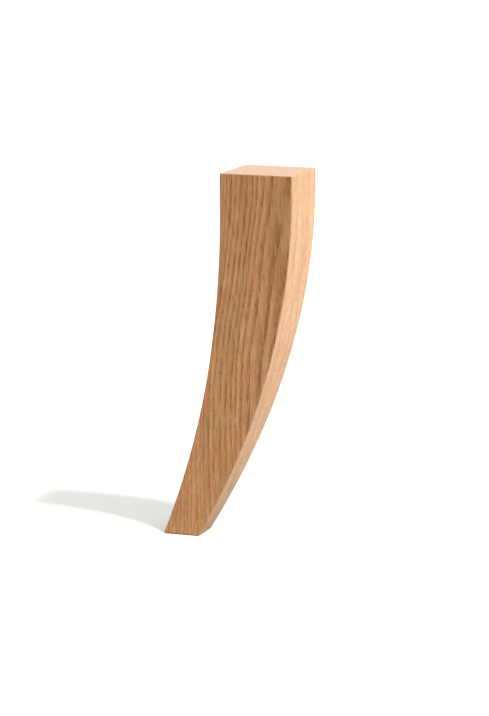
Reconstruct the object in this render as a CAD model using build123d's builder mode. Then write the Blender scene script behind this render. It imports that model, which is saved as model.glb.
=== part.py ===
"""Two-way sabre furniture leg, one solid piece of oak.

Millimetres. The origin is the centre of the top mounting face, +Z is up and the leg hangs below it.
The foot sweeps out equally towards -X and -Y, the two outer sides; +X and +Y are the inner sides.
"""

import os

from build123d import *

os.makedirs("parts", exist_ok=True)

leg_height = 300.0
top_size = 63.0
foot_size = 31.0

# How far the foot stands out past the top, on both outer sides.
foot_kick = 36.8

# The sabre pattern: both sides leave the top square, the outer side later than the inner one.
inner_straight = 15.5
outer_straight = 36.0

# The outer side is a slow bend down to the knee and a tighter one from there to the floor.
knee_height = 150.0
knee_out = 6.0

# Sanded radius on every arris.
edge_easing = 0.9

top_half = top_size / 2
foot_outer = -top_half - foot_kick
foot_inner = foot_outer + foot_size

with BuildSketch() as pattern:
    with BuildLine():
        top_line = Line((-top_half, 0), (top_half, 0))
        inner_flat = Line(top_line @ 1, (top_half, -inner_straight))
        inner_bend = TangentArc(inner_flat @ 1, (foot_inner, -leg_height), tangent=inner_flat % 1)
        foot_line = Line(inner_bend @ 1, (foot_outer, -leg_height))
        outer_flat = Line(top_line @ 0, (-top_half, -outer_straight))
        outer_slow = TangentArc(
            outer_flat @ 1, (-top_half - knee_out, knee_height - leg_height), tangent=outer_flat % 1
        )
        outer_tight = TangentArc(outer_slow @ 1, foot_line @ 1, tangent=outer_slow % 1)
    make_face()

# Sawn through from the front, then again from the side with the same pattern.
saw_depth = top_size + foot_kick

with BuildPart() as leg:
    with BuildSketch(Plane.XZ):
        add(pattern.sketch)
    extrude(amount=saw_depth, both=True)
    with BuildSketch(Plane.YZ):
        add(pattern.sketch)
    extrude(amount=saw_depth, both=True, mode=Mode.INTERSECT)

    # The level lines where a bend starts are smooth, so only the ends' and the long arrises are eased.
    levels = leg.edges().filter_by(Plane.XY).group_by(Axis.Z)
    arrises = leg.edges().filter_by(Plane.XY, reverse=True)
    fillet(arrises + levels[0] + levels[-1], radius=edge_easing)

leg.part.label = "leg"
export_step(leg.part, "parts/leg.step")
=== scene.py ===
import math

import bpy
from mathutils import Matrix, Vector


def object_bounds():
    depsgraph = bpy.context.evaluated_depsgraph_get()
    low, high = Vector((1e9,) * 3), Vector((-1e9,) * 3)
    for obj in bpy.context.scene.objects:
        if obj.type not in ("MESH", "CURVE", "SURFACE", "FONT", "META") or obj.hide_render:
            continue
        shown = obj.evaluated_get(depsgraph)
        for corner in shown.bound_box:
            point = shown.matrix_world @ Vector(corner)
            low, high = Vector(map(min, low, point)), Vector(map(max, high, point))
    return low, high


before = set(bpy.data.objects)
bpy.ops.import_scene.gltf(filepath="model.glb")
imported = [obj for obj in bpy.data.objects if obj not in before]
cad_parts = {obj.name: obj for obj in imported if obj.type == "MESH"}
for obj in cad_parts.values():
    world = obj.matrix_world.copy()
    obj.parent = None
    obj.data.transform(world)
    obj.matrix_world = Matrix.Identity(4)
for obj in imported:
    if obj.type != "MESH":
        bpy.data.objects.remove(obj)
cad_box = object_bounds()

# The leg: one piece of slow-grown oak, sawn to the sabre pattern from two sides, planed, sanded and
# finished with a clear matt oil. The figure is solid: growth rings round a pith that stood behind the
# blank, so the front is cut across wide bands, the right side across narrow ones and the top shows arcs.
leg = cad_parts["leg"]

oak = bpy.data.materials.new("oiled oak")
oak.use_nodes = True

# The functions below put their nodes in this tree. The paper and the studio each put their own in its place.
tree = oak.node_tree
tree.nodes.clear()


def connect(socket, value):
    """Links another node's output to a socket, or sets the socket's own value."""
    if isinstance(value, bpy.types.NodeSocket):
        tree.links.new(value, socket)
    else:
        socket.default_value = value


def place(kind, settings=None, **inputs):
    """Puts in a node with its settings, and its inputs by name as values or other nodes' outputs."""
    made = tree.nodes.new("ShaderNode" + kind)
    for name, value in (settings or {}).items():
        setattr(made, name, value)
    for name, value in inputs.items():
        connect(made.inputs[name.replace("_", " ")], value)
    return made


def place_sum(kind, operation, values):
    """Puts in a node that works something out from values, given in the order of its sockets."""
    made = place(kind, {"operation": operation})
    for socket, value in zip(made.inputs, values):
        connect(socket, value)
    return made


def work_out(operation, *values):
    """A sum on numbers, such as MULTIPLY or SUBTRACT."""
    return place_sum("Math", operation, values).outputs["Value"]


def work_out_three(operation, *values):
    """A sum on places or colours, done on each of their three numbers."""
    return place_sum("VectorMath", operation, values).outputs["Vector"]


cloud_mean = 0.5


def cloud(place_in_wood, across, along, detail=2.0, roughness=0.5):
    """Soft random patches from 0 to 1, about so many millimetres across and along the trunk. The node has
    them as Fac, and three sets of them as Color."""
    in_cells = work_out_three("DIVIDE", place_in_wood, (across, across, along))
    return place("TexNoise", Vector=in_cells, Scale=1.0, Detail=detail, Roughness=roughness)


def ramp(value, low=0.0, high=1.0, start=0.0, end=1.0):
    """Goes smoothly from start to end as the value goes from low to high."""
    made = place("MapRange", {"interpolation_type": "SMOOTHSTEP"})
    for socket, number in zip(made.inputs, (value, low, high, start, end)):
        connect(socket, number)
    return made.outputs["Result"]


def blend_colours(amount, under, over):
    """Lays one colour over another by an amount from 0 to 1. The node's colour sockets go by number, because
    its other sockets have the same names."""
    colour_under, colour_over, colour_out = 6, 7, 2
    made = place("Mix", {"data_type": "RGBA"}, Factor=amount)
    connect(made.inputs[colour_under], under)
    connect(made.inputs[colour_over], over)
    return made.outputs[colour_out]


# Places in the trunk, in millimetres from the middle of the leg's top face.
leg_height = 300.0
metres_to_millimetres = (1000.0, 1000.0, 1000.0)
on_leg = place("TexCoord").outputs
in_leg = work_out_three("MULTIPLY", on_leg["Object"], metres_to_millimetres)

# The trunk never grows quite straight: a slow sway, and a small wobble that makes the lines wavy.
sway_size, sway_length, sway = 45.0, 130.0, (4.0, 3.0, 0.0)
wobble_size, wobble_length, wobble = 4.0, 13.0, (0.9, 0.28, 0.0)


def bend_by(place_in_wood, across, along, amount):
    """Moves the wood by up to about half the amount in each direction, in patches of that size."""
    drift = cloud(place_in_wood, across, along, detail=1.0).outputs["Color"]
    from_mean = work_out_three("SUBTRACT", drift, (cloud_mean, cloud_mean, cloud_mean))
    return work_out_three("MULTIPLY_ADD", from_mean, amount, place_in_wood)


swayed = bend_by(in_leg, sway_size, sway_length, sway)
grown = bend_by(swayed, wobble_size, wobble_length, wobble)
to_right, to_back, height = place("SeparateXYZ", Vector=grown).outputs

# Growth rings round the pith, which stood to the right and behind. The blank was picked from a bent
# trunk, so that the grain follows the sweep: the pith bows forward towards both ends.
pith_to_right, pith_to_back = 45.4, 139.1
pith_lean_back = 0.12
pith_bow = 8.8
ring_width = 1.7
above_middle = work_out("SUBTRACT", height, -leg_height / 2.0)
from_middle = work_out("ABSOLUTE", work_out("DIVIDE", above_middle, leg_height / 2.0))
bowed = work_out("POWER", from_middle, 2.0)
pith_leaning = work_out("MULTIPLY_ADD", above_middle, pith_lean_back, pith_to_back)
pith_here = work_out("MULTIPLY_ADD", bowed, -pith_bow, pith_leaning)
right_of_pith = work_out("SUBTRACT", to_right, pith_to_right)
behind_pith = work_out("SUBTRACT", to_back, pith_here)
squares = [work_out("MULTIPLY", side, side) for side in (right_of_pith, behind_pith)]
radius = work_out("SQRT", work_out("ADD", *squares))

# The outer rings stand closer together in the upper half, so that the lines on the front splay downwards.
even_radius = 182.0
crowded_above, crowded_most = -160.0, 0.32
crowding = ramp(height, crowded_above, 0.0, end=crowded_most)
beyond_even = work_out("MAXIMUM", work_out("SUBTRACT", radius, even_radius), 0.0)
even_rings = work_out("DIVIDE", work_out("MULTIPLY_ADD", beyond_even, crowding, radius), ring_width)

# Good and lean years: the rings' widths change over about three years, and each ring has its own tone.
years_pace, years_change = 0.31, 0.8
only_one_way = {"noise_dimensions": "1D"}
years_place = work_out("MULTIPLY", even_rings, years_pace)
years = place("TexNoise", only_one_way, W=years_place, Scale=1.0, Detail=1.0).outputs["Fac"]
rings = work_out("MULTIPLY_ADD", work_out("SUBTRACT", years, cloud_mean), years_change, even_rings)
through_ring = work_out("FRACT", rings)
ring_tone = place("TexWhiteNoise", only_one_way, W=work_out("FLOOR", rings)).outputs["Value"]

# How far each face is cut along the rays, which run from the pith outwards: the left and right sides are,
# and the front and back aren't. It comes from the sine of the angle, seen from above, between the ray and the
# way the face looks, and it is 0 on the ends.
facing_right, facing_back, facing_up = place("SeparateXYZ", Vector=on_leg["Normal"]).outputs
across_ray = work_out(
    "SUBTRACT",
    work_out("MULTIPLY", facing_right, behind_pith),
    work_out("MULTIPLY", facing_back, right_of_pith),
)
ray_sine = work_out("ABSOLUTE", work_out("DIVIDE", across_ray, radius))
along_rays = ramp(ray_sine, low=0.5, high=0.9)

# Places in the trunk round the pith: outwards, round and up. On the front and back the wood's patches reach
# further outwards, so that the streaks stay long where the sweep cuts through the rings.
usual_radius = 185.0
front_squash = 0.4
outward_squash = ramp(along_rays, start=front_squash)
angle_round = work_out("ARCTAN2", behind_pith, right_of_pith)
in_rings = place(
    "CombineXYZ",
    X=work_out("MULTIPLY", radius, outward_squash),
    Y=work_out("MULTIPLY", angle_round, usual_radius),
    Z=height,
).outputs["Vector"]

# Each year opens with a band of wide pores, patchy along the trunk, and closes with dense late wood. The
# bands are boldest close to the pith, and they weaken outwards and towards the foot.
opened_by, fades_from, fades_by = 0.12, 0.20, 0.75
patch_size, patch_length, patch_least = 1.1, 14.0, 0.25
bold_radius, bold_most = 170.0, 1.22
weak_radius, bold_least = 210.0, 0.68
foot_from, foot_to, bold_at_foot = -205.0, -265.0, 0.76
early_start = ramp(through_ring, 0.0, opened_by)
early_fade = ramp(through_ring, fades_from, fades_by, start=1.0, end=0.0)
patches = cloud(in_rings, patch_size, patch_length, roughness=0.6).outputs["Fac"]
patchy = ramp(patches, low=0.30, high=0.58, start=patch_least)
bold_outwards = ramp(radius, bold_radius, weak_radius, start=bold_most, end=bold_least)
bold = work_out("MULTIPLY", bold_outwards, ramp(height, foot_to, foot_from, start=bold_at_foot))
early_band = work_out("MULTIPLY", early_start, early_fade)
early_wood = work_out("MULTIPLY", early_band, work_out("MULTIPLY", patchy, bold))


def patch(centre, radii):
    """1 in the middle third of an egg-shaped place in the leg, and 0 from its edge out."""
    full_share = 0.35
    offset = work_out_three("SUBTRACT", grown, centre)
    shrunk = work_out_three("DIVIDE", offset, radii)
    distance = place_sum("VectorMath", "LENGTH", [shrunk]).outputs["Value"]
    return ramp(distance, full_share, 1.0, start=1.0, end=0.0)


# Near the top right of the front the cut runs along one ring: a plain place, with stains at its edge. Their
# middles lie half a millimetre inside the front.
near_front = -31.0
plain_fading = 0.75
plain = patch(centre=(21.0, near_front, -22.0), radii=(11.0, 14.0, 34.0))
early_wood = work_out("MULTIPLY", early_wood, work_out("MULTIPLY_ADD", plain, -plain_fading, 1.0))
stain_places = (
    ((26.0, near_front, -14.0), (5.0, 8.0, 6.0)),
    ((18.0, near_front, -45.0), (4.0, 8.0, 13.0)),
    ((22.0, near_front, -84.0), (11.0, 12.0, 36.0)),
)
stains = 0.0
for centre, radii in stain_places:
    stains = work_out("MAXIMUM", stains, patch(centre, radii))

# Pores: open vessels about a third of a millimetre wide that run with the trunk, so they show as short dashes
# on the sides and as dots on the ends. Most lie in the early wood, which lowers the mark that they pass.
vessel_size, vessel_length = 0.42, 9.0
pore_mark, early_lowers, pore_edge = 0.66, 0.11, 0.06
vessels = cloud(grown, vessel_size, vessel_length).outputs["Fac"]
mark_here = work_out("MULTIPLY_ADD", early_wood, -early_lowers, pore_mark)
pores = ramp(work_out("SUBTRACT", vessels, mark_here), 0.0, pore_edge)

# Rays: thin ribbons of cells from the pith outwards. They show end-on as short upright ticks on the
# front and back, as faint flecks lying across the grain on the two sides and as fine spokes on the ends.
ray_length, ray_thickness, ray_height = 16.0, 0.32, 3.5
ray_mark, ray_full = 0.55, 0.68
in_rays = place(
    "CombineXYZ",
    X=work_out("DIVIDE", radius, ray_length),
    Y=work_out("MULTIPLY", angle_round, usual_radius / ray_thickness),
    Z=work_out("DIVIDE", height, ray_height),
).outputs["Vector"]
ribbons = place("TexNoise", Vector=in_rays, Scale=1.0, Detail=1.0).outputs["Fac"]
rays = ramp(ribbons, ray_mark, ray_full)

# Streaks in the tone along the trunk: fine ones in all the wood, broad ones that show most on the two sides
# cut along the rays, and short thin ones.
fibres = cloud(in_rings, across=1.5, along=30.0, detail=3.0, roughness=0.95).outputs["Fac"]
broad_streaks = cloud(grown, across=7.0, along=110.0, detail=3.0, roughness=0.7).outputs["Fac"]
short_streaks = cloud(in_rings, across=0.8, along=13.0, detail=1.0).outputs["Fac"]
front_share, side_share = 0.5, 0.9
broad_share = ramp(along_rays, start=front_share, end=side_share)
bands = work_out("MULTIPLY", work_out("SUBTRACT", broad_streaks, cloud_mean), broad_share)

# The ends are cut straight across the fibres. Their pale grey is painted sheen: the paleness that light
# grazing the top gives it.
# Where the sweep leans over most, near the foot, faces that lean from upright take a painted shade in
# grey-brown, and so do the ends under their pale colour.
across_fibres = work_out("ABSOLUTE", facing_up)
on_end = ramp(across_fibres, low=0.75, high=0.97)
# Painted shade: faces that lean from upright, near the foot and on the ends, are laid darker.
painted_tilt_shade = ramp(across_fibres, low=0.33, high=0.50)

# Colours of bare oak under clear oil. Three carry painted light: the silver on the two sides cut along the
# rays, which is partly their paler wood and partly painted sheen, the pale end colour, which is painted
# sheen, and the tilt shade, which is painted shade.
late_colour = (0.72, 0.378, 0.165, 1.0)
early_colour = (0.46, 0.190, 0.060, 1.0)
pore_colour = (0.22, 0.075, 0.015, 1.0)
ruddy_colour = (0.73, 0.345, 0.160, 1.0)
ray_colour = (0.52, 0.245, 0.100, 1.0)
stain_colour = (0.50, 0.215, 0.085, 1.0)
silver_and_sheen_colour = (0.71, 0.455, 0.262, 1.0)
painted_tilt_shade_colour = (0.16, 0.140, 0.075, 1.0)
end_sheen_colour = (0.74, 0.625, 0.545, 1.0)


def lay_over(under, *layers):
    """Lays colours over another in turn: where each one goes, how strongly from 0 to 1, and its colour."""
    for where, strength, colour in layers:
        under = blend_colours(work_out("MULTIPLY", where, strength), under, colour)
    return under


# Rays and pores show less on the two sides cut along the rays.
ray_fading, pore_fading = 0.85, 0.5
seen_rays = work_out("MULTIPLY", rays, work_out("MULTIPLY_ADD", along_rays, -ray_fading, 1.0))
seen_pores = work_out("MULTIPLY", pores, work_out("MULTIPLY_ADD", along_rays, -pore_fading, 1.0))
ruddy_patches = ramp(cloud(grown, across=9.0, along=40.0).outputs["Fac"], low=0.42, high=0.66)
wood = lay_over(
    late_colour,
    (ruddy_patches, 1.0, ruddy_colour),
    (early_wood, 0.85, early_colour),
    (stains, 0.6, stain_colour),
    (seen_rays, 0.35, ray_colour),
    # Partly the paler wood cut along the rays, partly painted sheen.
    (along_rays, 0.5, silver_and_sheen_colour),
)

# The lower two thirds darken a little towards the foot. Each kind of streak then changes the tone by its own
# contrast, on a base that keeps the mean near 1.
tone_at_foot, paler_above = 0.84, -100.0
tone = ramp(height, -leg_height, paler_above, start=tone_at_foot)
for streaks, contrast, base in (
    (fibres, 1.05, 0.497),
    (bands, 1.0, 1.01),
    (short_streaks, 0.60, 0.70),
    (ring_tone, 0.12, 0.94),
):
    tone = work_out("MULTIPLY", tone, work_out("MULTIPLY_ADD", streaks, contrast, base))

# Darker streaks are also warmer: green and blue fall faster with the tone than red does.
red_fall, green_fall, blue_fall = 0.85, 1.08, 1.4
shades = place(
    "CombineXYZ",
    X=work_out("POWER", tone, red_fall),
    Y=work_out("POWER", tone, green_fall),
    Z=work_out("POWER", tone, blue_fall),
).outputs["Vector"]
wood = lay_over(
    work_out_three("MULTIPLY", wood, shades),
    (seen_pores, 0.8, pore_colour),
    # Painted shade in grey-brown on faces that lean from upright, near the foot and on the ends.
    (painted_tilt_shade, 0.35, painted_tilt_shade_colour),
    # Painted sheen: the ends are laid paler, as the top looks where light grazes it.
    (on_end, 0.35, end_sheen_colour),
)

# Planed and sanded: the pores stay open under the oil, and the fibres leave the faintest tooth. Its depth is
# in metres.
tooth_depth, tooth_strength, fibre_share = 0.00008, 0.6, 0.25
hollows = work_out("MULTIPLY_ADD", pores, -1.0, work_out("MULTIPLY", fibres, fibre_share))
tooth = place("Bump", Height=hollows, Distance=tooth_depth, Strength=tooth_strength)

# The oil leaves a low sheen on the faces. The ends and the open pores stay duller.
oiled_roughness, end_dulling, pore_dulling = 0.46, 0.34, 0.20
dull_ends = work_out("MULTIPLY_ADD", on_end, end_dulling, oiled_roughness)
finish = place(
    "BsdfPrincipled",
    Base_Color=wood,
    Roughness=work_out("MULTIPLY_ADD", pores, pore_dulling, dull_ends),
    Normal=tooth.outputs["Normal"],
    IOR=1.4,
    Specular_IOR_Level=0.3,
)
place("OutputMaterial", Surface=finish.outputs["BSDF"])

for slot in leg.material_slots:
    slot.material = oak

# The floor: a wide sheet of plain matt white paper that lies level under the foot. It shows white, with a
# touch of green in the shadow. It bounces less light up than it shows, so that the wood near it isn't washed
# out.
floor_level = cad_box[0][2]
floor_reach = 30.0
floor_mesh = bpy.data.meshes.new("floor")
floor_corners = [(-1, -1), (1, -1), (1, 1), (-1, 1)]
floor_points = [(x * floor_reach, y * floor_reach, floor_level) for x, y in floor_corners]
floor_mesh.from_pydata(floor_points, [], [(0, 1, 2, 3)])
floor = bpy.data.objects.new("floor", floor_mesh)
bpy.context.scene.collection.objects.link(floor)

paper_seen = (1.014, 1.037, 1.008, 1.0)
paper_bounced = (0.22, 0.22, 0.22, 1.0)
paper = bpy.data.materials.new("white studio paper")
paper.use_nodes = True
tree = paper.node_tree
tree.nodes.clear()


def seen_directly():
    """1 for what the camera, a reflection or glass shows, and 0 for light on its way to the wood."""
    paths = place("LightPath").outputs
    shown = work_out("MAXIMUM", paths["Is Camera Ray"], paths["Is Glossy Ray"])
    return work_out("MAXIMUM", shown, paths["Is Transmission Ray"])


matt = place("BsdfDiffuse", Color=blend_colours(seen_directly(), paper_bounced, paper_seen))
place("OutputMaterial", Surface=matt.outputs["BSDF"])
floor_mesh.materials.append(paper)

# The studio round the leg: a plain white surround. It is white to the eye and in reflections, and gives the
# wood a soft fill from all sides that is weaker than it looks.
fill_strength = 0.81
studio = bpy.data.worlds.new("studio")
studio.use_nodes = True
bpy.context.scene.world = studio
tree = studio.node_tree
glow = tree.nodes["Background"]
connect(glow.inputs["Color"], (1.0, 1.0, 1.0, 1.0))
connect(glow.inputs["Strength"], ramp(seen_directly(), start=fill_strength))

# The lamps: a key to the right and high, which gives the shadow that falls to the left, and a wide soft box
# lower on the same side and a little behind, which lights the right face. The box lights only the leg, so
# that the floor stays white and keeps the key's shadow.


def lamp(name, azimuth, elevation, softness, level):
    """A far lamp, by its direction in degrees from the leg's right side towards its front and up,
    its width in degrees and the light that a surface facing it gets, where 1 shows colours as they are."""
    light = bpy.data.lights.new(name, "SUN")
    light.angle = math.radians(softness)
    light.energy = math.pi * level
    holder = bpy.data.objects.new(name, light)
    bpy.context.scene.collection.objects.link(holder)
    round_to_front, up = math.radians(azimuth), math.radians(elevation)
    direction = Vector(
        (math.cos(up) * math.cos(round_to_front), -math.cos(up) * math.sin(round_to_front), math.sin(up))
    )
    holder.rotation_euler = direction.to_track_quat("Z", "Y").to_euler()
    return holder


lamp("key", azimuth=7.0, elevation=56.8, softness=5.5, level=0.6)
side_box = lamp("side soft box", azimuth=-30.0, elevation=30.0, softness=40.0, level=0.69)
lit_by_box = bpy.data.collections.new("lit by the side soft box")
lit_by_box.objects.link(leg)
side_box.light_linking.receiver_collection = lit_by_box

# The camera: a long lens a little to the right of the front and above, two and a half metres off, as the leg
# was photographed. Its angles are in degrees, and its lens and sensor in millimetres.
view_azimuth = math.radians(19.48)
view_elevation = math.radians(10.87)
view_distance = 2.523
aim = Vector((-0.0207, 0.0, -0.1601))
camera_data = bpy.data.cameras.new("camera")
camera_data.sensor_width = 36.0
camera_data.lens = 150.4
camera = bpy.data.objects.new("camera", camera_data)
bpy.context.scene.collection.objects.link(camera)
towards_camera = Vector(
    (
        math.sin(view_azimuth) * math.cos(view_elevation),
        -math.cos(view_azimuth) * math.cos(view_elevation),
        math.sin(view_elevation),
    )
)
camera.location = aim + towards_camera * view_distance
camera.rotation_euler = towards_camera.to_track_quat("Z", "Y").to_euler()
bpy.context.scene.camera = camera

bpy.context.scene.view_settings.view_transform = "Standard"
